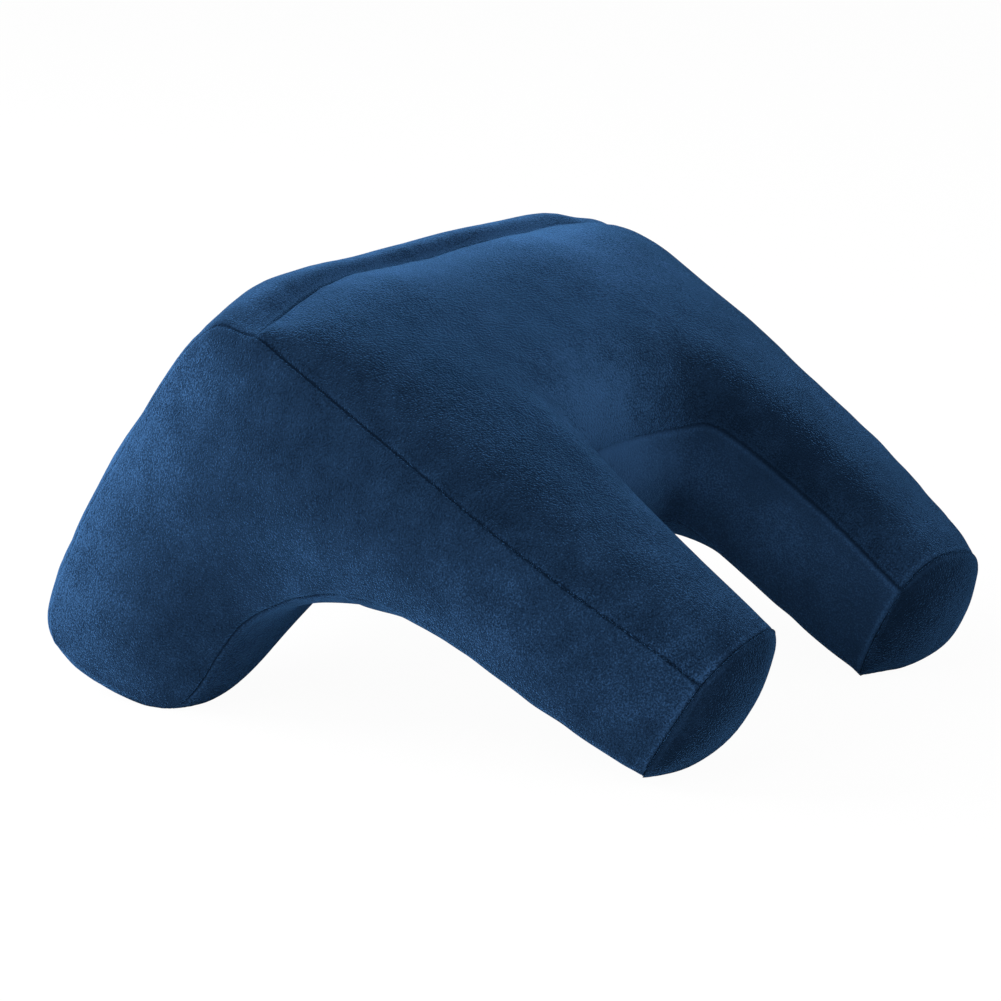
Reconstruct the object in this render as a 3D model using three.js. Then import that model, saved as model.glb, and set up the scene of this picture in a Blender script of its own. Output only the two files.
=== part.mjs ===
// A filled U-shaped neck pillow, bent over a ridge: two arms slope down to the front, two legs
// stand behind, and a sewn-in disc closes the end of each arm.
// Millimetres. +X runs across the pillow, the arms point along -Y and +Z is up.
// The origin lies on the floor under the middle of the pillow's box.

import * as THREE from "three";
import { ParametricGeometry } from "three/addons/geometries/ParametricGeometry.js";
import { mergeGeometries, mergeVertices } from "three/addons/utils/BufferGeometryUtils.js";

// Seams of one side, from the arm's end inwards. A row is one corner or bend of the seam:
// half is its distance from the middle plane, y its place along the pillow, z its height.
const outerTopSeam = [
  { half: 122, y: -163, z: 48.5 },
  { half: 141, y: -97, z: 91 },
  { half: 147.5, y: -30.5, z: 133 },
  { half: 149.5, y: 36, z: 173.5 },
];
const outerBottomSeam = [
  { half: 129.5, y: -139.5, z: 6.5 },
  { half: 135, y: -93.5, z: 30 },
  { half: 142.5, y: -48, z: 56 },
  { half: 144, y: -2.5, z: 66 },
];
const innerTopSeam = [
  { half: 56.5, y: -157, z: 47.5 },
  { half: 59, y: -113.5, z: 78.5 },
  { half: 52, y: -69.5, z: 108.5 },
  { half: 41.5, y: -54, z: 110 },
  { half: 0, y: -50, z: 111 },
];
const innerBottomSeam = [
  { half: 69, y: -129.5, z: 1.5 },
  { half: 61, y: -90.5, z: 32 },
  { half: 52, y: -51, z: 63 },
  { half: 41.5, y: -38, z: 64 },
  { half: 0, y: -36.5, z: 65 },
];
const ridgeSeam = [
  { half: 149.5, y: 36, z: 173.5 },
  { half: 75, y: 50, z: 183 },
  { half: 0, y: 56, z: 180.5 },
];

// The strip that runs from the arch down the inside of the leg, under it and up the back.
// middleY and middleZ are what the strip's middle is set back and raised over its side seams.
const strip = [
  { half: 144, y: -2.5, z: 66, middleY: 0, middleZ: 8 },
  { half: 136, y: 51, z: 46, middleY: 0, middleZ: 24 },
  { half: 141, y: 91, z: 2.5, middleY: 1.5, middleZ: 46 },
  { half: 146, y: 150, z: 23.5, middleY: 0, middleZ: 40 },
  { half: 148, y: 135.5, z: 74.5, middleY: 4, middleZ: 14 },
  { half: 147, y: 71, z: 166.5, middleY: 4.5, middleZ: 3.5 },
];
const lastStation = strip.length + 1;

// The row before the strip's first, which sets the slope at which it leaves the top of the arch
const lead = { half: 142.5, y: -48, z: 56, middleY: 11.5, middleZ: 9 };

// How far each corner of an arm's end is drawn in towards the end's middle, and from how near
const cornerPull = { outerTop: 3.5, outerBottom: 1.5, innerTop: 0.8, innerBottom: 1.5, reach: 12 };

// Moves every row along Y, so that the origin lies under the middle of the swollen pillow
const centringY = 0.2;

// How far the soft pillow sinks under its own weight: what would lie under the floor is flat
const sinking = 2;

// How far each panel swells over the net of its seams. A list gives the height at the arm's end,
// at the shoulder of the pillow and at its middle; reach is how far in from a seam it takes, and
// fall the power by which the top's swelling falls off towards its outer seam.
const topCrown = { heights: [16.5, 19.5, 24.5], innerReach: [22, 38, 50], fall: [4, 4.5, 6] };
const gussetCrown = { heights: [5.5, 8, 8], reach: 30 };
const sideCrown = { heights: [4, 10, 12, 13], reach: 45, backReach: 60 };
const underCrown = { heights: [6, 13], innerReach: 35, outerReach: 50 };
const stripCrown = { heights: [13, 13, 4, 9, 15.5, 15.5, 9.5, 9], ridgeReach: 25 };
const endCrown = { height: 11, reach: 0.45 };
const topTilt = THREE.MathUtils.degToRad(30);

// How far along a panel its shape is evened out halfway between its seams, as a share of the arm,
// and the number of places taken to either side for it
const evening = { top: 0.35, gusset: 0.5, side: 0.4, under: 0.3, places: 4 };

// The sewn-in end disc and the seam gap behind it
const disc = { thickness: 2, gap: 0.3 };

// Facets along an arm, over half the middle, across a panel, down a side and along a leg
const facets = { arm: 16, middle: 12, across: 10, down: 8, leg: 12 };

const navyVelvet = { color: 0x203856, roughness: 0.92, metalness: 0 };

const rise = (x) => 1 - (1 - THREE.MathUtils.clamp(x, 0, 1)) ** 2;
const roll = (x) => Math.sqrt(rise(x));

// The value at x along a list of evenly spaced values, easing from one to the next
function along(values, x) {
  const i = Math.min(Math.floor(x), values.length - 2);
  return THREE.MathUtils.lerp(values[i], values[i + 1], THREE.MathUtils.smoothstep(x - i, 0, 1));
}

const corner = ({ half, y, z }) => new THREE.Vector3(-half, y + centringY, z);
const mirrored = (p) => new THREE.Vector3(-p.x, p.y, p.z);
const curveThrough = (points) => new THREE.CatmullRomCurve3(points, false, "catmullrom");

// A seam from the arm's end to the shoulder, and one that crosses the middle plane: its rows on one
// side, then their mirror images
const endingSeam = (rows) => curveThrough(rows.map(corner));
function crossingSeam(rows) {
  const points = rows.map(corner);
  return curveThrough([...points, ...points.slice(0, -1).reverse().map(mirrored)]);
}

const endMiddle = [outerTopSeam, outerBottomSeam, innerTopSeam, innerBottomSeam]
  .reduce((sum, rows) => sum.add(corner(rows[0])), new THREE.Vector3())
  .divideScalar(4);

// A seam curve, drawn in towards the middle of the arm's end close to the end's corner
function roundedEnd(curve, pull) {
  const start = curve.getPoint(0);
  const inwards = endMiddle.clone().sub(start).normalize();
  return (t) => {
    const point = curve.getPoint(t);
    const share = Math.exp(-((point.distanceTo(start) / cornerPull.reach) ** 2));
    return point.addScaledVector(inwards, pull * share);
  };
}

const throughArch = endingSeam([...outerBottomSeam, strip[1]]);
const archTop = (throughArch.points.length - 2) / (throughArch.points.length - 1);
const outerTop = roundedEnd(endingSeam(outerTopSeam), cornerPull.outerTop);
const throughOuterBottom = roundedEnd(throughArch, cornerPull.outerBottom);
const outerBottom = (k) => throughOuterBottom(k * archTop);
const innerTop = roundedEnd(crossingSeam(innerTopSeam), cornerPull.innerTop);
const innerBottom = roundedEnd(crossingSeam(innerBottomSeam), cornerPull.innerBottom);
const ridge = crossingSeam(ridgeSeam);

// Places are given by k: 0 at the arm's end, 1 at the shoulder, 2 in the middle plane.
const onInnerTop = (k) => innerTop(k / 4);
const onInnerBottom = (k) => innerBottom(k / 4);
const onRim = (k) => (k <= 1 ? outerTop(k) : ridge.getPoint((k - 1) / 2));

function tangentOf(curve, t) {
  const step = 1e-4;
  return curve(Math.min(t + step, 1))
    .sub(curve(Math.max(t - step, 0)))
    .normalize();
}

// The strip's rows at k from 1 to 2: the lead, then each station up to the ridge
function stripRows(k) {
  const s = k - 2;
  const share = (1 - s * s) ** 2;
  const rows = [lead, ...strip].map(({ half, y, z, middleY, middleZ }) =>
    corner({ half: -half * s, y: y + middleY * share, z: z + middleZ * share }),
  );
  return [...rows, onRim(k)];
}

// The strip's section at k. Up to station 1 it comes from the notch's seam, and from there it goes
// on in the same plane with its own slope.
function onSection(k, station) {
  const rows = stripRows(k);
  if (station >= 1) {
    return curveThrough(rows).getPoint(station / lastStation);
  }
  const notch = onInnerBottom(k);
  const onward = rows[2].clone().sub(rows[0]).add(notch).setX(rows[2].x);
  return curveThrough([notch, rows[1], onward]).getPoint(station / 2);
}
const onSideLoop = (station) => onSection(1, station);

// Square to the side loop, pointing out of the pillow
function outwardAt(station) {
  const tangent = tangentOf((t) => onSideLoop(t * lastStation), station / lastStation);
  return new THREE.Vector3(0, tangent.z, -tangent.y).normalize();
}

const topOutward = new THREE.Vector3(0, -Math.sin(topTilt), Math.cos(topTilt));
const sideOutward = new THREE.Vector3(-1, 0, 0);

// Top panel: k along the U, v from the inner seam to the rim
function onTop(k, v) {
  const inner = onInnerTop(k);
  const outer = onRim(k);
  const length = inner.distanceTo(outer);
  const height =
    along(topCrown.heights, k) *
    roll((v * length) / along(topCrown.innerReach, k)) *
    (1 - v ** along(topCrown.fall, k));
  return inner.lerp(outer, v).addScaledVector(topOutward, height);
}

// Inner wall of the notch: k along the U, v from its top seam to its bottom seam
function onGusset(k, v) {
  const tangent = tangentOf(innerTop, k / 4).add(tangentOf(innerBottom, k / 4));
  const outward = new THREE.Vector3(tangent.y, -tangent.x, 0).normalize();
  const top = onInnerTop(k);
  const bottom = onInnerBottom(k);
  const length = top.distanceTo(bottom);
  const height =
    along(gussetCrown.heights, k) *
    rise((v * length) / gussetCrown.reach) *
    rise(((1 - v) * length) / gussetCrown.reach);
  return top.lerp(bottom, v).addScaledVector(outward, height);
}

// Side panel over the arm: k from the arm's end to the shoulder, v from the top down
function onSideArm(k, v) {
  const top = outerTop(k);
  const bottom = outerBottom(k);
  const length = top.distanceTo(bottom);
  const height =
    along(sideCrown.heights, 2 * k) *
    rise((v * length) / sideCrown.reach) *
    rise(((1 - v) * length) / sideCrown.reach);
  return top.lerp(bottom, v).addScaledVector(sideOutward, height);
}

// Side panel over the leg: a from the shoulder down to the foot, v from the back to the inside
function onSideLeg(a, v) {
  const footStation = 4;
  const back = onSideLoop(lastStation - 3 * a);
  const inside = onSideLoop(1 + 2 * a);
  const backFoot = onSideLoop(footStation);
  const insideFoot = onSideLoop(footStation - 1);
  const sag = onSideLoop(footStation - v).sub(backFoot.clone().lerp(insideFoot, v));
  const toFoot = back.clone().add(inside).sub(backFoot).sub(insideFoot).length() / 2;
  const length = back.distanceTo(inside);
  const backReach = THREE.MathUtils.lerp(sideCrown.reach, sideCrown.backReach, Math.min(2.5 * a, 1));
  const height =
    THREE.MathUtils.lerp(sideCrown.heights[2], sideCrown.heights[3], a) *
    rise((v * length) / backReach) *
    rise(((1 - v) * length) / sideCrown.reach) *
    rise(toFoot / sideCrown.reach);
  return back.lerp(inside, v).addScaledVector(sag, a * a).addScaledVector(sideOutward, height);
}

// Underside of the arm: k from the arm's end to the shoulder, v from the inner to the outer seam
function onUnder(k, v) {
  const inner = onInnerBottom(k);
  const outer = outerBottom(k);
  const shoulderLine = onInnerBottom(1).lerp(outerBottom(1), v);
  const sag = onSideLoop(v).sub(shoulderLine);
  const length = inner.distanceTo(outer);
  const height =
    THREE.MathUtils.lerp(underCrown.heights[0], underCrown.heights[1], k ** 3) *
    rise((v * length) / underCrown.innerReach) *
    rise(((1 - v) * length) / underCrown.outerReach);
  const outward = outwardAt(v).multiplyScalar(k * k).addScaledVector(topOutward, k * k - 1).normalize();
  return inner.lerp(outer, v).addScaledVector(sag, k * k).addScaledVector(outward, height);
}

// The strip between the legs: k from the side loop to the middle plane, station from notch to ridge
function onStrip(k, station) {
  const rows = stripRows(k);
  const halves = [strip[0], ...strip, ridgeSeam[0]].map((row) => row.half);
  const fromNotch = Math.min(station, 1) * onInnerBottom(k).distanceTo(rows[1]);
  const fromRidge =
    Math.min(lastStation - station, 1) * rows[lastStation].distanceTo(rows[lastStation - 1]);
  const pastShoulder = Math.max(1 - station, 0) * onInnerBottom(1).distanceTo(outerBottom(1));
  const fromSide = (k - 1) * along(halves, station) + pastShoulder;
  const height =
    along(stripCrown.heights, station) *
    rise(fromSide / underCrown.outerReach) *
    rise(fromNotch / underCrown.innerReach) *
    rise(fromRidge / stripCrown.ridgeReach);
  return onSection(k, station).addScaledVector(outwardAt(station), height);
}

// A panel evened out along its length: the weighted mean of places before and after x, spread most
// halfway between the panel's two seams and not at all on them
function evened(surface, x, v, reach) {
  const spread = (reach * 4 * v * (1 - v)) / evening.places;
  const sum = new THREE.Vector3();
  for (let i = 1 - evening.places; i < evening.places; i++) {
    const weight = (evening.places - Math.abs(i)) / evening.places ** 2;
    sum.addScaledVector(surface(x + i * spread, v), weight);
  }
  return sum;
}

// The same panels over the whole pillow: past k = 2 they are the mirror images of their first half
const wholeTop = (k, v) => (k <= 2 ? onTop(k, v) : mirrored(onTop(4 - k, v)));
const wholeUnder = (k, v) => (k <= 1 ? onUnder(k, v) : onStrip(k, v));
const wholeSide = (t, v) => (t <= 0 ? onSideArm(1 + t, v) : onSideLeg(t, v));

const evenTop = (k, v) => evened(wholeTop, k, v, Math.min(evening.top, k));
const evenGusset = (k, v) => evened(onGusset, k, v, Math.min(evening.gusset, k));
const evenUnder = (k, v) => evened(wholeUnder, k, v, Math.min(evening.under, k, 2 - k));
const evenSide = (t, v) => evened(wholeSide, t, v, Math.min(evening.side, 1 + t, 1 - t));

// The arm's end: u from the inner to the outer side, v from the top down, as a patch between its
// four edges, domed along the way that the end faces
const endCorner = {
  innerTop: onTop(0, 0),
  outerTop: onTop(0, 1),
  outerBottom: onUnder(0, 1),
  innerBottom: onUnder(0, 0),
};
const endOutward = new THREE.Vector3()
  .crossVectors(
    endCorner.outerBottom.clone().sub(endCorner.innerTop),
    endCorner.innerBottom.clone().sub(endCorner.outerTop),
  )
  .normalize();

function onEnd(u, v) {
  const point = new THREE.Vector3()
    .addScaledVector(onTop(0, u), 1 - v)
    .addScaledVector(onUnder(0, u), v)
    .addScaledVector(onGusset(0, v), 1 - u)
    .addScaledVector(onSideArm(0, v), u)
    .addScaledVector(endCorner.innerTop, -(1 - u) * (1 - v))
    .addScaledVector(endCorner.outerTop, -u * (1 - v))
    .addScaledVector(endCorner.innerBottom, -(1 - u) * v)
    .addScaledVector(endCorner.outerBottom, -u * v);
  const inFrom = (x) => rise(x / endCrown.reach) * rise((1 - x) / endCrown.reach);
  return point.addScaledVector(endOutward, endCrown.height * inFrom(u) * inFrom(v));
}

// One panel as a grid of facets. side is -1 or +1, and the mirrored panel runs its two ways
// swapped to face out again.
function panel(surface, side, acrossFacets, alongFacets) {
  const place = (u, v, target) => {
    const point = side < 0 ? surface(u, v) : surface(v, u);
    target.set(-side * point.x, point.y, Math.max(point.z - sinking, 0));
  };
  const counts = side < 0 ? [acrossFacets, alongFacets] : [alongFacets, acrossFacets];
  const geometry = new ParametricGeometry(place, ...counts);
  geometry.deleteAttribute("normal");
  geometry.deleteAttribute("uv");
  return geometry;
}

function closed(panels) {
  const geometry = mergeVertices(mergeGeometries(panels), 0.001);
  geometry.computeVertexNormals();
  return geometry;
}

// The panels of one side of the body, each with its facets across and along
function bodyPanels(side) {
  const { arm, middle, across, down, leg } = facets;
  const midK = (v) => 1 + v;
  return [
    panel((u, v) => evenTop(v, 1 - u), side, across, arm),
    panel((u, v) => evenTop(midK(v), 1 - u), side, across, middle),
    panel((u, v) => evenGusset(v, u), side, down, arm),
    panel((u, v) => evenGusset(midK(v), u), side, down, middle),
    panel((u, v) => evenSide(v - 1, 1 - u), side, down, arm),
    panel((u, v) => evenSide(v, 1 - u), side, down, leg),
    panel((u, v) => evenUnder(v, u), side, across, arm),
    panel((u, v) => evenUnder(midK(v), u), side, across, middle),
    panel((u, v) => onStrip(midK(v), 1 + 2 * u), side, leg, middle),
    panel((u, v) => onStrip(midK(v), 3 + u), side, down, middle),
    panel((u, v) => onStrip(midK(v), 4 + 3 * u), side, leg, middle),
    panel((u, v) => onEnd(u, v), side, across, down),
  ];
}

// The disc sewn over an arm's end: the end's own surface moved out twice, and the rim between
function discPanels(side) {
  const { across, down } = facets;
  const moved = (surface, distance) => (u, v) =>
    surface(u, v).addScaledVector(endOutward, distance);
  const back = disc.gap;
  const front = disc.gap + disc.thickness;
  const rimOf = (edge) => (u, v) =>
    edge(v).addScaledVector(endOutward, THREE.MathUtils.lerp(back, front, u));
  return [
    panel(moved(onEnd, front), side, across, down),
    panel((u, v) => moved(onEnd, back)(v, u), side, down, across),
    panel(rimOf((v) => onEnd(1 - v, 0)), side, 1, across),
    panel(rimOf((v) => onEnd(v, 1)), side, 1, across),
    panel(rimOf((v) => onEnd(0, v)), side, 1, down),
    panel(rimOf((v) => onEnd(1, 1 - v)), side, 1, down),
  ];
}

function mesh(name, panels) {
  const made = new THREE.Mesh(closed(panels), new THREE.MeshStandardMaterial(navyVelvet));
  made.name = name;
  return made;
}

const group = new THREE.Group();
group.add(mesh("cushion_body", [...bodyPanels(-1), ...bodyPanels(1)]));
group.add(mesh("end_disc_left", discPanels(-1)));
group.add(mesh("end_disc_right", discPanels(1)));

export default group;
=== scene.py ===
import math

import bpy
import numpy as np
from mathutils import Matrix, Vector


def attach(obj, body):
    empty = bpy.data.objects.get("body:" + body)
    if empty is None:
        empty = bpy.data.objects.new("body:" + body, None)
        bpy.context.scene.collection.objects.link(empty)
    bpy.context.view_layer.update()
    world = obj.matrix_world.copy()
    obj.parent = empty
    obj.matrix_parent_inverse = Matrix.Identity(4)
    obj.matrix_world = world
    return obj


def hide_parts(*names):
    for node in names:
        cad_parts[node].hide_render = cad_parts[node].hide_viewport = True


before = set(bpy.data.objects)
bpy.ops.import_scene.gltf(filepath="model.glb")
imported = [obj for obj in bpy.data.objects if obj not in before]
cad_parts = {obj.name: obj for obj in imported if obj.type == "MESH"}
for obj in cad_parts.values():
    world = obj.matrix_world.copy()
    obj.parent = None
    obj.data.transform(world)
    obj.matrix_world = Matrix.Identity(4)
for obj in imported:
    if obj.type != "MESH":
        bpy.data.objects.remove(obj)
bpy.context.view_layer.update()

# The pillow's seams and crowns in millimetres, its tilt in degrees: the same values as the solids.
# A seam point is (distance from the middle plane, place along the pillow, height).
pillow = {
    "outerTop": [(122, -163, 48.5), (141, -97, 91), (147.5, -30.5, 133), (149.5, 36, 173.5)],
    "outerBottom": [(129.5, -139.5, 6.5), (135, -93.5, 30), (142.5, -48, 56), (144, -2.5, 66)],
    "innerTop": [(56.5, -157, 47.5), (59, -113.5, 78.5), (52, -69.5, 108.5), (41.5, -54, 110),
                 (0, -50, 111)],
    "innerBottom": [(69, -129.5, 1.5), (61, -90.5, 32), (52, -51, 63), (41.5, -38, 64),
                    (0, -36.5, 65)],
    "ridge": [(149.5, 36, 173.5), (75, 50, 183), (0, 56, 180.5)],
    # strip point: half width, place, height, then how far its middle is set back and raised
    "strip": [(144, -2.5, 66, 0, 8), (136, 51, 46, 0, 24), (141, 91, 2.5, 1.5, 46),
              (146, 150, 23.5, 0, 40), (148, 135.5, 74.5, 4, 14), (147, 71, 166.5, 4.5, 3.5)],
    # the place before the strip's first point, which sets the way it leaves the arch's top
    "lead": (142.5, -48, 56, 11.5, 9),
    "topHeights": [16.5, 19.5, 24.5], "topReach": [22, 38, 50], "topFall": [4, 4.5, 6],
    "topTilt": 30,
    "wallHeights": [5.5, 8, 8], "wallReach": 30,
    "sideHeights": [4, 10, 12, 13], "sideReach": 45, "sideBackReach": 60, "sideWidens": 2.5,
    "underHeights": [6, 13], "underInner": 35, "underOuter": 50,
    "stripHeights": [13, 13, 4, 9, 15.5, 15.5, 9.5, 9], "stripRidge": 25,
    "cornerPulls": {"outerTop": 3.5, "outerBottom": 1.5, "innerTop": 0.8, "innerBottom": 1.5},
    "cornerReach": 12,
    "endHeight": 11, "endReach": 0.45, "endEdges": 30, "endKeptUp": 0.8,
    "evenTop": 0.35, "evenWall": 0.5, "evenSide": 0.4, "evenUnder": 0.3, "evenPlaces": 10,
    "centringY": 0.2, "sinking": 2,
}
lastStation = len(pillow["strip"]) + 1


def unit(v):  # each vector divided by its length
    return v / np.maximum(np.linalg.norm(v, axis=-1, keepdims=True), 1e-9)


def rise(x):  # 1 - (1 - x) squared, with x held from 0 to 1
    return 1 - (1 - np.clip(x, 0, 1)) ** 2


def fromEdges(v, length, reach):  # rises from 0 at both edges to 1 further in than the reach
    return rise(v * length / reach) * rise((1 - v) * length / reach)


def along(values, x):  # the value at x along an even row, eased from one to the next
    values = np.asarray(values, float)
    i = np.clip(np.floor(x).astype(int), 0, len(values) - 2)
    t = np.clip(x - i, 0, 1)
    t = t * t * (3 - 2 * t)
    return values[i] * (1 - t) + values[i + 1] * t


def mix(a, b, t):  # the point that lies t of the way from a to b
    return a + (b - a) * np.asarray(t)[..., None]


def through(rows, t):
    # smooth curve through rows of points, t counted in rows: a cubic in each gap, whose slope at
    # a row is half the step between its two neighbours, the outermost ones reflected
    shape = np.broadcast_shapes(np.shape(t), *[np.shape(r)[:-1] for r in rows])
    p = np.stack([np.broadcast_to(r, shape + (3,)) for r in rows])
    p = np.concatenate([[2 * p[0] - p[1]], p, [2 * p[-1] - p[-2]]])
    t = np.broadcast_to(t, shape)
    i = np.clip(np.floor(t).astype(int), 0, len(rows) - 2)
    f = (t - i)[..., None]
    p0, p1, p2, p3 = (np.take_along_axis(p, (i + n)[None, ..., None], 0)[0] for n in range(4))
    m1, m2 = (p2 - p0) / 2, (p3 - p1) / 2
    return (2 * p1 - 2 * p2 + m1 + m2) * f**3 + (3 * p2 - 3 * p1 - 2 * m1 - m2) * f**2 + m1 * f + p1


def cornerPoint(half, y, z):  # a seam point on the left half
    half, y, z = np.broadcast_arrays(half, y, z)
    return np.stack([-half, y + pillow["centringY"], z], -1).astype(float)


def mirrored(p):  # across the middle plane
    return p * (-1, 1, 1)


def seamCurve(points, crossing=False):  # a function of 0 to 1, over both sides when it crosses
    rows = [cornerPoint(*p) for p in points]
    if crossing:
        rows += [mirrored(r) for r in rows[-2::-1]]
    return lambda u: through(rows, np.asarray(u, float) * (len(rows) - 1))


def tangentOf(curve, u, step=1e-4):  # unit step between the curve's points just after and before u
    u = np.asarray(u, float)
    return unit(curve(np.clip(u + step, 0, 1)) - curve(np.clip(u - step, 0, 1)))


def lengthOf(a, b):  # distance between points
    return np.linalg.norm(a - b, axis=-1)


def pickedBy(first, second, useFirst):  # points of the first where that is asked, else the second
    return np.where(useFirst[..., None], first, second)


endMiddle = np.mean([cornerPoint(*pillow[name][0]) for name in pillow["cornerPulls"]], axis=0)


def roundedEnd(name, curve):  # drawn in towards the end's middle close to the end's corner
    start = curve(0.0)
    pull = unit(endMiddle - start) * pillow["cornerPulls"][name]

    def rounded(u):
        p = curve(u)
        return p + pull * np.exp(-((lengthOf(p, start) / pillow["cornerReach"]) ** 2))[..., None]
    return rounded


# the arm's lower seam is drawn with one more point, past the top of the arch, and used without it
throughArch = seamCurve([*pillow["outerBottom"], pillow["strip"][1][:3]])
armShare = 1 - 1 / len(pillow["outerBottom"])
outerTop = roundedEnd("outerTop", seamCurve(pillow["outerTop"]))
outerBottom = roundedEnd("outerBottom", lambda u: throughArch(np.asarray(u, float) * armShare))
innerTop = roundedEnd("innerTop", seamCurve(pillow["innerTop"], crossing=True))
innerBottom = roundedEnd("innerBottom", seamCurve(pillow["innerBottom"], crossing=True))
ridge = seamCurve(pillow["ridge"], crossing=True)
tilt = math.radians(pillow["topTilt"])
topOut = np.array([0, -math.sin(tilt), math.cos(tilt)])
sideOut = np.array([-1.0, 0, 0])


def rim(k):  # the top panel's outer seam: along the arm's edge up to k = 1, then along the ridge
    k = np.asarray(k, float)
    return pickedBy(outerTop(np.clip(k, 0, 1)), ridge(np.clip(k - 1, 0, 2) / 2), k <= 1)


def stripRows(k):  # the strip's section at k as rows of points: the lead, then up to the ridge
    s = np.asarray(k, float) - 2
    share = (1 - s * s) ** 2
    rows = [cornerPoint(-half * s, y + backY * share, z + backZ * share)
            for half, y, z, backY, backZ in (pillow["lead"], *pillow["strip"])]
    return [*rows, rim(k)]


def section(k, station):
    # up to station 1 the section comes from the notch's seam, and it goes on from there in the
    # same plane with its own slope
    rows, notch = stripRows(k), innerBottom(np.asarray(k) / 4)
    onward = (rows[2] - rows[0]) * (0, 1, 1) + notch * (0, 1, 1) + rows[2] * (1, 0, 0)
    return pickedBy(through([notch, rows[1], onward], np.minimum(station, 1)),
                    through(rows, np.maximum(station, 1)), np.asarray(station) < 1)


def sideLoop(station):  # the strip's edge on the pillow's left side
    return section(np.ones(np.shape(station)), station)


def outwardAt(station):  # square to the side loop, out of the pillow
    t = tangentOf(lambda u: sideLoop(u * lastStation), np.asarray(station) / lastStation)
    return unit(np.stack([0 * t[..., 0], t[..., 2], -t[..., 1]], -1))


def topPanel(k, v):
    # straight lines from the notch's seam to the rim, raised along topOut by a height that rolls
    # up steeply from the notch and falls off as 1 - a power of v towards the rim
    inner, outer = innerTop(k / 4), rim(k)
    near = v * lengthOf(inner, outer) / along(pillow["topReach"], k)
    height = along(pillow["topHeights"], k) * np.sqrt(rise(near))
    height = height * (1 - v ** along(pillow["topFall"], k))
    return mix(inner, outer, v) + topOut * height[..., None]


def notchWall(k, v):  # straight down from seam to seam, swollen square to the notch's plan
    t = tangentOf(innerTop, k / 4) + tangentOf(innerBottom, k / 4)
    out = unit(np.stack([t[..., 1], -t[..., 0], 0 * t[..., 0]], -1))
    top, bottom = innerTop(k / 4), innerBottom(k / 4)
    height = along(pillow["wallHeights"], k)
    height = height * fromEdges(v, lengthOf(top, bottom), pillow["wallReach"])
    return mix(top, bottom, v) + out * height[..., None]


def sideOverArm(k, v):  # straight down from seam to seam, swollen sideways
    top, bottom = outerTop(k), outerBottom(k)
    height = along(pillow["sideHeights"], 2 * k)
    height = height * fromEdges(v, lengthOf(top, bottom), pillow["sideReach"])
    return mix(top, bottom, v) + sideOut * height[..., None]


def sideOverLeg(a, v):
    # from the shoulder down to the foot, v from the back seam to the inside: straight across, bent
    # down to the sole's edge as a squared, and swollen sideways
    back, inside = sideLoop(lastStation - 3 * a), sideLoop(1 + 2 * a)
    backFoot, insideFoot = sideLoop(4), sideLoop(3)
    sag = sideLoop(4 - v) - mix(backFoot, insideFoot, v)
    toFoot = np.linalg.norm(back + inside - backFoot - insideFoot, axis=-1) / 2
    length, reach = lengthOf(back, inside), pillow["sideReach"]
    backReach = reach + (pillow["sideBackReach"] - reach) * np.minimum(pillow["sideWidens"] * a, 1)
    heights = pillow["sideHeights"]
    height = (heights[2] + (heights[3] - heights[2]) * a) * rise(v * length / backReach)
    height = height * rise((1 - v) * length / reach) * rise(toFoot / reach)
    return mix(back, inside, v) + sag * (a * a)[..., None] + sideOut * height[..., None]


def armUnderside(k, v):
    # straight across from seam to seam, bent to meet the strip as k squared and swollen outwards
    inner, outer = innerBottom(k / 4), outerBottom(k)
    sag = sideLoop(v) - mix(innerBottom(0.25), outerBottom(1.0), v)
    length, heights = lengthOf(inner, outer), pillow["underHeights"]
    height = heights[0] + (heights[1] - heights[0]) * k**3
    height = height * rise(v * length / pillow["underInner"])
    height = height * rise((1 - v) * length / pillow["underOuter"])
    share = (k * k)[..., None]
    out = unit(outwardAt(v) * share - topOut * (1 - share))
    return mix(inner, outer, v) + sag * share + out * height[..., None]


def stripPanel(k, station):
    # the section's points, swollen outwards by a height that rises from each seam
    rows = stripRows(k)
    halves = [pillow["strip"][0][0], *[row[0] for row in pillow["strip"]], pillow["ridge"][0][0]]
    fromNotch = np.minimum(station, 1) * lengthOf(innerBottom(k / 4), rows[1])
    fromRidge = np.minimum(lastStation - station, 1) * lengthOf(rows[-1], rows[-2])
    pastShoulder = np.maximum(1 - station, 0) * lengthOf(innerBottom(0.25), outerBottom(1.0))
    fromSide = (k - 1) * along(halves, station) + pastShoulder
    height = along(pillow["stripHeights"], station) * rise(fromSide / pillow["underOuter"])
    height = height * rise(fromNotch / pillow["underInner"])
    height = height * rise(fromRidge / pillow["stripRidge"])
    return section(k, station) + outwardAt(station) * height[..., None]


def evened(surface, x, v, reach):
    # weighted mean of places before and after x, spread most halfway between the two seams
    places, total = pillow["evenPlaces"], 0
    spread = reach * 4 * v * (1 - v) / places
    for i in range(1 - places, places):
        total = total + surface(x + i * spread, v) * (places - abs(i)) / places**2
    return total


def evenTop(k, v):  # evened across the middle too, with the far half as the mirror image
    def whole(kk, vv):
        folded = np.where(kk <= 2, kk, 4 - kk)
        p = topPanel(folded, vv)
        return pickedBy(p, mirrored(p), kk <= 2)
    return evened(whole, k, v, np.minimum(pillow["evenTop"], k))


def evenWall(k, v):  # the wall, over its corners
    return evened(notchWall, k, v, np.minimum(pillow["evenWall"], k))


def evenUnder(k, v):  # the arm's underside and the arch's top, over their common edge at k = 1
    def whole(kk, vv):
        arm = armUnderside(np.minimum(kk, 1), vv)
        return pickedBy(arm, stripPanel(np.maximum(kk, 1), vv), kk <= 1)
    return evened(whole, k, v, np.minimum(np.minimum(pillow["evenUnder"], k), 2 - k))


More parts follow.
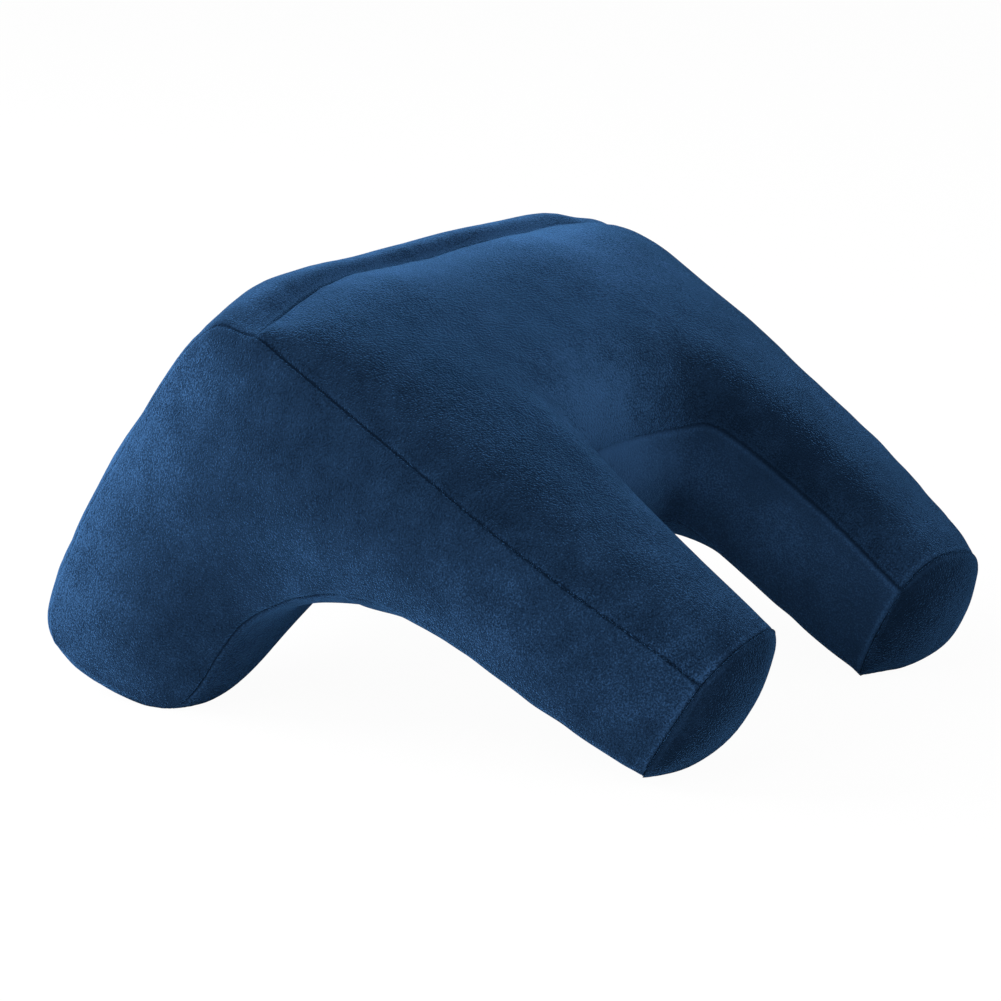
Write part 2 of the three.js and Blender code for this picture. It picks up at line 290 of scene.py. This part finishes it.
def evenSide(t, v):  # t runs along the arm from -1 to 0 and down the leg from 0 to 1
    def whole(tt, vv):
        arm = sideOverArm(np.clip(1 + tt, 0, 1), vv)
        return pickedBy(arm, sideOverLeg(np.clip(tt, 0, 1), vv), tt <= 0)
    return evened(whole, t, v, np.minimum(np.minimum(pillow["evenSide"], 1 + t), 1 - t))


zero, one = np.array(0.0), np.array(1.0)
endCorners = [panel(zero, v) for panel in (topPanel, armUnderside) for v in (zero, one)]
endOut = unit(np.cross(endCorners[3] - endCorners[0], endCorners[2] - endCorners[1]))


def armEnd(u, v):  # patch between its four edges, domed along the way it faces
    a, b = u[..., None], v[..., None]
    p = topPanel(0 * u, u) * (1 - b) + armUnderside(0 * u, u) * b
    p = p + notchWall(0 * v, v) * (1 - a) + sideOverArm(0 * v, v) * a
    p = p - endCorners[0] * (1 - a) * (1 - b) - endCorners[1] * a * (1 - b)
    p = p - endCorners[2] * (1 - a) * b - endCorners[3] * a * b
    dome = fromEdges(u, 1, pillow["endReach"]) * fromEdges(v, 1, pillow["endReach"])
    return p + endOut * (pillow["endHeight"] * dome)[..., None]


def keptUp(surface, level):
    # the end's surface held at least this far off the floor inside its edges, so that the layers
    # pressed flat there lie over each other
    def held(u, v):
        p = surface(u, v)
        inside = np.minimum(np.minimum(u, 1 - u), np.minimum(v, 1 - v)) * pillow["endEdges"]
        lowest = pillow["sinking"] + level * rise(inside)
        return p + (0, 0, 1) * np.maximum(lowest - p[..., 2], 0)[..., None]
    return held


print("seams and panels worked out")

# How finely each way of a panel is cut, and how much closer the cuts lie at a seam
grid = {
    "arm": 88, "middle": 56, "across": 60, "down": 32, "leg": 56, "rim": 2,
    "closer": 0.115, "closerEnd": 0.6,
}


def bothEnds(count):  # 0 to 1, closer together at both ends
    s = np.linspace(0, 1, count + 1)
    return s - grid["closer"] * np.sin(2 * math.pi * s)


def startEnd(count):  # 0 to 1, closer together at 0
    s = np.linspace(0, 1, count + 1)
    return s + grid["closerEnd"] * s * (s - 1)


armK, midK = startEnd(grid["arm"]), 1 + startEnd(grid["middle"])
across, down = bothEnds(grid["across"]), bothEnds(grid["down"])
downLeg = 1 - startEnd(grid["leg"])[::-1]
upLeg = 1 - downLeg[::-1]


# How strongly each seam is drawn in, from its first end to its last, and how strongly its lip is
# painted pale as a sheen
seamBlend = 2.5  # millimetres over which two seams that meet blend
seamless = 999.0  # millimetres, for a point that no seam is near
seamLook = {
    "side": (1.0, 1.0, 0.1), "ridge": (0.8, 0.55, 0.6), "notch": (0.7, 0.45, 0.4),
    "notchBack": (0.45, 0.3, 0.3), "armEnd": (0.18, 0.18, 0.65), "under": (0.6, 0.25, 0.1),
    "underBack": (0.25, 0.25, 0.1), "leg": (0.65, 0.95, 0.3), "sole": (0.9, 0.9, 0.2),
    "back": (0.9, 0.9, 0.2),
}
# A panel of the left half: name, surface, its two rows of cuts, and the seam on each of its four
# edges (first u, last u, first v, last v), or none
bodyPanels = [
    ("top", lambda u, v: evenTop(v, 1 - u), across, armK, ("side", "notch", "armEnd", None)),
    ("top", lambda u, v: evenTop(v, 1 - u), across, midK, ("ridge", "notchBack", None, None)),
    ("wall", lambda u, v: evenWall(v, u), down, armK, ("notch", "under", "armEnd", None)),
    ("wall", lambda u, v: evenWall(v, u), down, midK, ("notchBack", "underBack", None, None)),
    ("side", lambda u, v: evenSide(v - 1, 1 - u), down, armK, ("under", "side", "armEnd", None)),
    ("side", lambda u, v: evenSide(v, 1 - u), down, downLeg, ("leg", "back", None, "sole")),
    ("under", lambda u, v: evenUnder(v, u), across, armK, ("under", "under", "armEnd", None)),
    ("strip", lambda u, v: evenUnder(v, u), across, midK, ("underBack", None, None, None)),
    ("strip", lambda u, v: stripPanel(v, 1 + 2 * u), downLeg, midK, (None, None, "leg", None)),
    ("strip", lambda u, v: stripPanel(v, 3 + u), down, midK, (None, None, "sole", None)),
    ("strip", lambda u, v: stripPanel(v, 4 + 3 * u), upLeg, midK, (None, "ridge", "back", None)),
    ("end", keptUp(armEnd, pillow["endKeptUp"]), across, down, ("armEnd",) * 4),
]


def runLength(points, axis):  # the length gone along the grid's lines, from the first cut
    steps = np.linalg.norm(np.diff(points, axis=axis), axis=-1)
    start = np.zeros_like(np.take(steps, [0], axis=axis))
    return np.concatenate([start, np.cumsum(steps, axis=axis)], axis=axis)


def seamField(points, sewn):
    # the length along the grid's own lines to the nearest sewn edge, and that seam's strength and
    # the painted sheen of its lip, blended where two seams are near
    away = np.full(points.shape[:2], seamless)
    pulled, pale, weights = np.zeros_like(away), np.zeros_like(away), np.full(away.shape, 1e-12)
    for axis in (0, 1):
        run = runLength(points, axis)
        for last in (0, 1):
            name = sewn[2 * axis + last]
            if name is None:
                continue
            distance = np.take(run, [-1], axis=axis) - run if last else run
            first, final, lipSheen = seamLook[name]
            strength = np.linspace(first, final, points.shape[1 - axis])
            strength = strength[None, :] if axis == 0 else strength[:, None]
            weight = np.exp(-distance / seamBlend)
            away = np.minimum(away, distance)
            pulled, pale = pulled + weight * strength, pale + weight * lipSheen
            weights += weight
    return away, pulled / weights, pale / weights


# The panels: how light each is coloured, partly from the way its pile lies and partly painted light
# and shade for how light falls on it (the top darker, the wall lighter where it lies in shade), and
# how uneven it looks
panels = {
    "top": (0.34, 1.2), "wall": (0.49, 0.5), "side": (0.37, 0.95), "under": (0.38, 0.8),
    "strip": (0.46, 0.85), "end": (0.04, 1.0),
}
panelNames = list(panels)


def gridQuads(rows, columns):  # the four corners of each cell, in the order that faces outwards
    i, j = np.meshgrid(np.arange(rows - 1), np.arange(columns - 1), indexing="ij")
    first = (i * columns + j).ravel()
    return np.stack([first, first + columns, first + columns + 1, first + 1], -1)


def sewTogether(cutPanels):
    # all panels on both sides as one list of points and quads; points that meet become one
    points, quads, away, pulls, lipSheens, names, offset = [], [], [], [], [], [], 0
    for name, surface, u, v, edges in cutPanels:
        p = surface(*np.meshgrid(u, v, indexing="ij"))
        distance, pull, lipSheen = (values.ravel() for values in seamField(p, edges))
        q = gridQuads(*p.shape[:2])
        for side in (1, -1):
            points.append(p.reshape(-1, 3) * (side, 1, 1))
            quads.append((q if side > 0 else q[:, ::-1]) + offset)
            away.append(distance)
            pulls.append(pull)
            lipSheens.append(lipSheen)
            names.append(np.full(len(q), panelNames.index(name)))
            offset += len(distance)
    points, quads = np.concatenate(points), np.concatenate(quads)
    away, pulls, lipSheens = np.concatenate(away), np.concatenate(pulls), np.concatenate(lipSheens)
    points[:, 2] = np.maximum(points[:, 2] - pillow["sinking"], 0)
    places = np.round(points, 3)
    key, first, back = np.unique(places, axis=0, return_index=True, return_inverse=True)
    back = back.ravel()
    nearest = np.full(len(key), seamless)
    np.minimum.at(nearest, back, away)
    met = np.bincount(back)
    pulls, lipSheens = np.bincount(back, pulls) / met, np.bincount(back, lipSheens) / met
    sewn = {"seam": nearest, "pull": pulls, "lipSheen": lipSheens}
    return points[first], back[quads], sewn, np.concatenate(names)


def pointNormals(points, quads):  # mean of the faces round a point, each the cross of its diagonals
    corners = points[quads]
    faceNormal = np.cross(corners[:, 2] - corners[:, 0], corners[:, 3] - corners[:, 1])
    total = np.zeros_like(points)
    for n in range(4):
        np.add.at(total, quads[:, n], faceNormal)
    return unit(total)


def waves(points, seed, count, longest, shortest):
    # sum of sine waves in random directions, each as strong as it is long, scaled to about 1
    rng = np.random.default_rng(seed)
    total = np.zeros(len(points))
    power = 0.0
    for _ in range(count):
        length = longest * (shortest / longest) ** rng.random()
        way = unit(rng.normal(size=3)) * 2 * math.pi / length
        total += length * np.sin(points @ way + rng.random() * 2 * math.pi)
        power += length**2 / 2
    return total / math.sqrt(power)


# Painted light and shade, partly pile stroked lighter or darker: round patches of painted highlight
# and sheen along the left back edge, the ridge and the notch's inner roll, and of painted shade
# beside the far arm's seams and on the top. Each is a place on the pillow and the patch's reach in
# millimetres, and the change of tone at its middle
strokesAndPaintedLight = [
    # x, y, z, reach, tone (painted light and stroked pile)
    (-150, 155, 55, 42, 0.42), (-150, 122, 118, 38, 0.42), (-152, 78, 162, 26, 0.36),
    (-158, 5, 112, 40, -0.08), (-145, -75, 62, 28, 0.18), (-150, 5, 78, 24, 0.14),
    (-138, -128, 36, 22, 0.15), (-112, -15, 156, 34, -0.18), (-112, -75, 120, 36, -0.16),
    (-76, -38, 152, 28, -0.10), (-112, 22, 174, 26, -0.16), (0, 2, 168, 32, -0.12),
    (80, 14, 178, 38, 0.45), (-115, 46, 180, 24, 0.22), (-72, 53, 184, 24, 0.20),
    (-30, 57, 184, 24, 0.24), (14, 57, 183, 24, 0.26), (-18, -50, 132, 28, 0.66),
    (-56, -62, 126, 20, 0.32), (-62, -95, 104, 18, 0.26), (8, -52, 100, 24, 0.48),
    (62, -60, 122, 22, -0.40), (70, -98, 98, 24, -0.36), (78, -130, 80, 22, -0.26),
    (106, -62, 128, 24, 0.15), (124, -110, 95, 24, 0.24), (54, -98, 62, 20, 0.16),
    (42, -60, 88, 20, 0.14), (62, 50, 184, 24, 0.24), (-80, -150, 66, 18, 0.12),
    (-122, -150, 60, 16, 0.12), (-126, -158, 38, 18, 0.14), (-88, -172, 28, 24, -0.14),
    (13, -39, 141, 16, 0.16), (42, -54, 122, 16, 0.16), (-32, -52, 121, 14, 0.18),
    (-146, 56, 174, 14, -0.24), (-144, -49, 122, 14, -0.08), (82, -65, 131, 14, -0.12),
    (72, -17, 160, 20, -0.10), (9, -52, 98, 14, -0.12), (-93, -36, 149, 22, -0.06),
    (85, 37, 181, 18, 0.20), (-150, 97, 118, 18, 0.10), (88, -152, 70, 12, 0.14),
    (-113, -164, 49, 10, 0.14),
]

# Where the filling of the right half stands higher or lower than in the left, in millimetres
fillings = [
    # x, y, z, reach, height
    (105, 42, 181, 20, 2.4), (128, 40, 177, 16, 3.6), (98, 20, 180, 20, 2.4),
    (124, 62, 178, 16, -3.6), (150, 34, 172, 14, -2.5),
]


def patchesAt(patches, points):  # sum of round patches, each fading as exp(-(distance / reach)^2)
    total = np.zeros(len(points))
    for x, y, z, reach, amount in patches:
        total += amount * np.exp(-((lengthOf(points, (x, y, z)) / reach) ** 2))
    return total


def toMesh(name, points, quads, faceNames, pointValues):
    mesh = bpy.data.meshes.new(name)
    mesh.vertices.add(len(points))
    mesh.vertices.foreach_set("co", (points * 0.001).astype(np.float32).ravel())
    mesh.loops.add(quads.size)
    mesh.loops.foreach_set("vertex_index", quads.astype(np.int32).ravel())
    mesh.polygons.add(len(quads))
    mesh.polygons.foreach_set("loop_start", np.arange(0, quads.size, 4, dtype=np.int32))
    mesh.update(calc_edges=True)
    mesh.polygons.foreach_set("use_smooth", np.ones(len(quads), bool))
    # the patches of painted light and shade and stroked pile go in as a point attribute
    for label, values in {**pointValues, "strokedAndPaintedLight": patchesAt(strokesAndPaintedLight, points)}.items():
        made = mesh.attributes.new(label, "FLOAT", "POINT")
        made.data.foreach_set("value", values.astype(np.float32))
    # each panel's tone, partly its pile and partly painted light and shade, goes in as a face
    # attribute
    for label, values in zip(("toneAndLight", "uneven"), zip(*panels.values())):
        made = mesh.attributes.new(label, "FLOAT", "FACE")
        made.data.foreach_set("value", np.array(values, np.float32)[faceNames])
    mesh.validate()
    piece = bpy.data.objects.new(name, mesh)
    bpy.context.scene.collection.objects.link(piece)
    return piece


# The drawn-in seam: a narrow groove, a wide shallow dip and a low lip beside it, in millimetres,
# and the unevenness of hand-filled cloth. Waves are seed, count, longest and shortest.
relief = {
    "grooveDepth": 1.5, "grooveWidth": 1.1,
    "dipDepth": 0.5, "dipWidth": 6.0,
    "lipHeight": 0.45, "lipAt": 3.4, "lipWidth": 1.7,
    "puckerDepth": 0.35, "puckerFrom": 2, "puckerReach": 9.0, "puckerWaves": (3, 40, 26, 9),
    "unevenHeight": 0.54, "unevenFrom": 30, "unevenWaves": (5, 24, 150, 45),
    "floorHeight": 0.2, "floorReach": 6,
}


def relieved(points, normals, sewn):
    # each point moved along its normal; what lies on the floor stays flat
    s, away, pull = relief, sewn["seam"], sewn["pull"]
    dent = s["grooveDepth"] * pull * np.exp(-((away / s["grooveWidth"]) ** 2))
    dent += s["dipDepth"] * pull * np.exp(-((away / s["dipWidth"]) ** 2))
    dent -= s["lipHeight"] * pull * np.exp(-(((away - s["lipAt"]) / s["lipWidth"]) ** 2))
    pucker = pull * waves(points, *s["puckerWaves"]) * np.exp(-away / s["puckerReach"])
    pucker = pucker * rise(away / s["puckerFrom"])
    uneven = waves(points, *s["unevenWaves"]) * rise(away / s["unevenFrom"])
    move = s["unevenHeight"] * uneven + s["puckerDepth"] * pucker - dent
    move += patchesAt(fillings, points)
    free = np.clip((points[:, 2] - s["floorHeight"]) / s["floorReach"], 0, 1)
    moved = points + normals * (move * free)[:, None]
    moved[:, 2] = np.maximum(moved[:, 2], 0)
    return moved


points, quads, sewn, faceNames = sewTogether(bodyPanels)
points = relieved(points, pointNormals(points, quads), sewn)
body = toMesh("pillow_body", points, quads, faceNames, sewn)
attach(body, "root")
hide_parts("cushion_body")
print("pillow body", len(points), "points", len(quads), "faces")

# The disc of cloth sewn over the end of each arm, thin at its sewn edge: millimetres, but for the
# size and area it is cut to, in metres
disc = {
    "gap": 0.3, "thickness": 2.0, "edge": 0.35, "edgeReach": 8.0, "sides": (78, 62),
    "tuck": 0.4, "tuckWidth": 1.6, "keptUp": 0.5,
    "unevenHeight": 0.35, "unevenFrom": 10, "unevenSeed": 11, "unevenWaves": (20, 60, 18),
    "flat": (0.075, 0.077), "flatArea": 0.0047,
}


def discFront(u, v):  # the arm's end moved out by the gap and a thickness that rises from the edge
    wide, high = disc["sides"]
    full = fromEdges(u, wide, disc["edgeReach"]) * fromEdges(v, high, disc["edgeReach"])
    level = disc["gap"] + disc["edge"] + (disc["thickness"] - disc["edge"]) * full
    return armEnd(u, v) + endOut * level[..., None]


def discPanels():  # front, back and the narrow rim between them, along each of the four sides
    back, front = disc["gap"], disc["gap"] + disc["edge"]
    edges = [lambda t: armEnd(1 - t, 0 * t), lambda t: armEnd(t, 0 * t + 1),
             lambda t: armEnd(0 * t, t), lambda t: armEnd(0 * t + 1, 1 - t)]
    levels = np.linspace(0, 1, grid["rim"] + 1)
    discBack = keptUp(lambda u, v: armEnd(u, v) + endOut * back, disc["keptUp"])

    def rimPanel(edge):
        return lambda u, v: edge(v) + endOut * (back + (front - back) * u)[..., None]

    made = [("end", discFront, across, down, ("armEnd",) * 4),
            ("end", lambda u, v: discBack(v, u), down, across, ("armEnd",) * 4)]
    for edge, cuts in zip(edges, (across, across, down, down)):
        made.append(("end", rimPanel(edge), levels, cuts, (None,) * 4))
    return made


def makeDisc(name, node, side):
    points, quads, sewn, faceNames = sewTogether(discPanels())
    keep = (points[quads][:, :, 0] * side > 0).all(1)
    used, back = np.unique(quads[keep], return_inverse=True)
    points, quads = points[used], back.reshape(-1, 4)
    sewn = {label: values[used] for label, values in sewn.items()}
    out = endOut * (-side, 1, 1)
    facing = rise(pointNormals(points, quads) @ out)
    height = disc["unevenHeight"] * waves(points, disc["unevenSeed"] + side, *disc["unevenWaves"])
    height *= rise(sewn["seam"] / disc["unevenFrom"])
    height -= disc["tuck"] * np.exp(-((sewn["seam"] / disc["tuckWidth"]) ** 2))
    points = points + out * (height * facing)[:, None]
    points[:, 2] = np.maximum(points[:, 2], 0)
    piece = toMesh(name, points, quads, faceNames[keep], sewn)
    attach(piece, "root")
    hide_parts(node)
    return piece


discLeft = makeDisc("disc_left", "end_disc_left", -1)
discRight = makeDisc("disc_right", "end_disc_right", 1)
print("end discs made")

# Velvet: its colours from dark to light pile, the grain of the pile, its small clumps and the
# larger patches. Noise is scale, detail and roughness.
velvet = {
    "deep": (0.0046, 0.0128, 0.030), "mid": (0.0108, 0.030, 0.0695), "pale": (0.027, 0.075, 0.174),
    "sheen": 0.44, "sheenRoughness": 0.3, "sheenTint": (0.14, 0.42, 0.95), "roughness": 0.9,
    "grain": (1300.0, 1.0, 0.5), "grainShare": 1.6, "grainLeast": 0.3, "grainRise": 1.2,
    "grainDepth": 0.0009,
    "clumps": (75.0, 3.0, 0.6), "clumpShare": 0.65, "clumpHeight": 0.5,
    "patches": (16.0, 3.0, 0.55), "patchShare": 0.35,
    "stitches": (320.0, 2.0, 0.5), "stitchLeast": 0.5,
    "lineWidth": 1.2, "lineRagged": 1.3, "lineShare": 1.5,
    # the pale lip beside each seam is painted sheen: where it lies, how wide, and how much lighter
    # it is painted
    "lipAt": 1.8, "lipWidth": 1.8, "lipSheenShare": 0.35,
}


def addNode(tree, kind, **values):  # a node with its own settings
    node = tree.nodes.new(kind)
    for key, value in values.items():
        setattr(node, key, value)
    return node


def math2(tree, operation, a, b=None, clamp=False):  # numbers are set, sockets are linked
    node = addNode(tree, "ShaderNodeMath", operation=operation, use_clamp=clamp)
    for socket, value in zip(node.inputs, (a, b)):
        if value is None:
            continue
        if isinstance(value, (int, float)):
            socket.default_value = value
        else:
            tree.links.new(value, socket)
    return node.outputs[0]


def noiseAt(tree, vector, scale, detail, roughness):
    node = addNode(tree, "ShaderNodeTexNoise")
    node.inputs["Scale"].default_value = scale
    node.inputs["Detail"].default_value = detail
    node.inputs["Roughness"].default_value = roughness
    tree.links.new(vector, node.inputs["Vector"])
    return node.outputs["Fac"]


def centred(tree, value, share):  # share times (value - 0.5)
    return math2(tree, "MULTIPLY", math2(tree, "SUBTRACT", value, 0.5), share)


def makePileGroup():
    # colour share and height of the pile: brushed patches, small clumps and a fine short grain,
    # with a dark line and a pale lip of painted sheen at the seams, and the panel tones and stroked
    # patches, which carry painted light and shade too
    group = bpy.data.node_groups.new("velvetPile", "ShaderNodeTree")
    for label in ("Share", "Height"):
        group.interface.new_socket(label, in_out="OUTPUT", socket_type="NodeSocketFloat")
    objectAt = addNode(group, "ShaderNodeTexCoord").outputs["Object"]
    grain, patches, clumps, stitches = (
        noiseAt(group, objectAt, *velvet[name])
        for name in ("grain", "patches", "clumps", "stitches"))
    seam, pull, pale, strokedAndPaintedLight, toneAndLight, uneven = (
        addNode(group, "ShaderNodeAttribute", attribute_name=name).outputs["Fac"]
        for name in ("seam", "pull", "lipSheen", "strokedAndPaintedLight", "toneAndLight", "uneven"))
    ragged = math2(group, "ADD", seam, centred(group, stitches, velvet["lineRagged"]))
    ragged = math2(group, "DIVIDE", ragged, velvet["lineWidth"])
    line = math2(group, "SUBTRACT", 1.0, ragged, clamp=True)
    line = math2(group, "MULTIPLY", line, math2(group, "MULTIPLY", pull, pull))
    line = math2(group, "MULTIPLY", line, math2(group, "ADD", stitches, velvet["stitchLeast"]))
    # the pale lip beside the seam, painted lighter as a sheen
    lipSheen = math2(group, "SUBTRACT", seam, velvet["lipAt"])
    lipSheen = math2(group, "ABSOLUTE", math2(group, "DIVIDE", lipSheen, velvet["lipWidth"]))
    lipSheen = math2(group, "MULTIPLY", math2(group, "SUBTRACT", 1.0, lipSheen, clamp=True), pale)
    # the panel's tone and the stroked patches, both partly painted light and shade
    share = math2(group, "ADD", toneAndLight, strokedAndPaintedLight)
    # the grain shows less where the colour is darker, painted shade included
    graining = math2(group, "MULTIPLY", share, velvet["grainRise"])
    graining = math2(group, "ADD", graining, velvet["grainLeast"], clamp=True)
    graining = math2(group, "MULTIPLY", graining, centred(group, grain, velvet["grainShare"]))
    mottling = math2(group, "ADD", centred(group, patches, velvet["patchShare"]),
                     centred(group, clumps, velvet["clumpShare"]))
    mottling = math2(group, "ADD", mottling, graining)
    for part in (math2(group, "MULTIPLY", mottling, uneven),
                 math2(group, "MULTIPLY", lipSheen, velvet["lipSheenShare"]),
                 math2(group, "MULTIPLY", line, -velvet["lineShare"])):
        share = math2(group, "ADD", share, part)
    height = math2(group, "ADD", grain, math2(group, "MULTIPLY", clumps, velvet["clumpHeight"]))
    height = math2(group, "MULTIPLY", height, uneven)
    out = addNode(group, "NodeGroupOutput")
    group.links.new(share, out.inputs["Share"])
    group.links.new(height, out.inputs["Height"])
    return group


pileGroup = makePileGroup()


def makeVelvet(name):
    material = bpy.data.materials.new(name)
    material.use_nodes = True
    tree = material.node_tree
    tree.nodes.clear()
    output = addNode(tree, "ShaderNodeOutputMaterial")
    shader = addNode(tree, "ShaderNodeBsdfPrincipled")
    tree.links.new(shader.outputs[0], output.inputs["Surface"])
    shader.inputs["Roughness"].default_value = velvet["roughness"]
    shader.inputs["Sheen Weight"].default_value = velvet["sheen"]
    shader.inputs["Sheen Roughness"].default_value = velvet["sheenRoughness"]
    shader.inputs["Sheen Tint"].default_value = (*velvet["sheenTint"], 1)
    shader.inputs["Specular IOR Level"].default_value = 0.0
    pile = addNode(tree, "ShaderNodeGroup", node_tree=pileGroup)
    ramp = addNode(tree, "ShaderNodeValToRGB")
    first, last = ramp.color_ramp.elements
    first.position, last.position = 0, 1
    first.color, last.color = (*velvet["deep"], 1), (*velvet["pale"], 1)
    middle = ramp.color_ramp.elements.new(0.5)
    middle.color = (*velvet["mid"], 1)
    tree.links.new(pile.outputs["Share"], ramp.inputs["Fac"])
    tree.links.new(ramp.outputs["Color"], shader.inputs["Base Color"])
    bump = addNode(tree, "ShaderNodeBump")
    bump.inputs["Strength"].default_value = 1.0
    bump.inputs["Distance"].default_value = velvet["grainDepth"]
    tree.links.new(pile.outputs["Height"], bump.inputs["Height"])
    tree.links.new(bump.outputs["Normal"], shader.inputs["Normal"])
    return material


velvetMaterial = makeVelvet("navyVelvet")
for piece in (body, discLeft, discRight):
    piece.data.materials.append(velvetMaterial)
print("velvet made")

# Room: pale floor, soft lights, and the camera at the photograph's angle. A light is
# (azimuth, elevation, distance, size, watts).
room = {
    "floorColor": (0.8, 0.8, 0.8), "floorGlow": 0.965, "floorSize": 6.0,
    "surround": 0.45, "backdrop": 1.0,
    "lights": {"backLight": (-164, 28, 2.2, 1.6, 100), "sideLight": (-95, 35, 2.2, 1.6, 22),
               "frontLight": (10, 35, 2.2, 1.6, 12)},
    "azimuth": -56.415, "elevation": 13.169, "target": (0, 0.0139, 0.0747),
    "distance": 1.8956, "lens": 154.03, "sensor": 36,
}


def seenByCamera(tree, seen, unseen):  # the first shader for what the camera sees, else the second
    path = addNode(tree, "ShaderNodeLightPath")
    chosen = addNode(tree, "ShaderNodeMixShader")
    tree.links.new(path.outputs["Is Camera Ray"], chosen.inputs[0])
    tree.links.new(unseen.outputs[0], chosen.inputs[1])
    tree.links.new(seen.outputs[0], chosen.inputs[2])
    return chosen.outputs[0]


def makeFloor():
    mesh = bpy.data.meshes.new("floor")
    s = room["floorSize"]
    mesh.from_pydata([(-s, -s, 0), (s, -s, 0), (s, s, 0), (-s, s, 0)], [], [(0, 1, 2, 3)])
    floor = bpy.data.objects.new("floor", mesh)
    bpy.context.scene.collection.objects.link(floor)
    material = bpy.data.materials.new("paleFloor")
    material.use_nodes = True
    tree = material.node_tree
    shader = tree.nodes["Principled BSDF"]
    shader.inputs["Base Color"].default_value = (*room["floorColor"], 1)
    shader.inputs["Roughness"].default_value = 1.0
    shader.inputs["Specular IOR Level"].default_value = 0.0
    # a little of its own light, so that it stays as pale in the pillow's shade as in the photograph
    shown = addNode(tree, "ShaderNodeMixShader")
    glow = addNode(tree, "ShaderNodeEmission")
    shown.inputs[0].default_value = room["floorGlow"]
    tree.links.new(shader.outputs[0], shown.inputs[1])
    tree.links.new(glow.outputs[0], shown.inputs[2])
    output = tree.nodes["Material Output"]
    tree.links.new(seenByCamera(tree, shown, shader), output.inputs["Surface"])
    mesh.materials.append(material)


def makeWorld():
    world = bpy.data.worlds.new("studio")
    bpy.context.scene.world = world
    world.use_nodes = True
    tree = world.node_tree
    dim = tree.nodes["Background"]
    bright = addNode(tree, "ShaderNodeBackground")
    for node, strength in ((dim, room["surround"]), (bright, room["backdrop"])):
        node.inputs["Color"].default_value = (1, 1, 1, 1)
        node.inputs["Strength"].default_value = strength
    tree.links.new(seenByCamera(tree, bright, dim), tree.nodes["World Output"].inputs["Surface"])


def backVector(azimuth, elevation):  # unit step from the pillow towards a light or the camera
    a, e = math.radians(azimuth), math.radians(elevation)
    return Vector((math.sin(a) * math.cos(e), -math.cos(a) * math.cos(e), math.sin(e)))


def aimed(thing, azimuth, elevation, distance):  # set that far off, facing the target
    back = backVector(azimuth, elevation)
    thing.location = Vector(room["target"]) + back * distance
    thing.rotation_mode = "QUATERNION"
    thing.rotation_quaternion = (-back).to_track_quat("-Z", "Y")
    bpy.context.scene.collection.objects.link(thing)


def addLight(name, azimuth, elevation, distance, size, power):
    light = bpy.data.lights.new(name, "AREA")
    light.shape, light.size, light.energy = "DISK", size, power
    aimed(bpy.data.objects.new(name, light), azimuth, elevation, distance)


makeFloor()
makeWorld()
for lightName, settings in room["lights"].items():
    addLight(lightName, *settings)

camera = bpy.data.cameras.new("camera")
camera.sensor_width, camera.lens = room["sensor"], room["lens"]
cameraObject = bpy.data.objects.new("camera", camera)
aimed(cameraObject, room["azimuth"], room["elevation"], room["distance"])
bpy.context.scene.camera = cameraObject
bpy.context.scene.view_settings.view_transform = "Standard"

print("done")
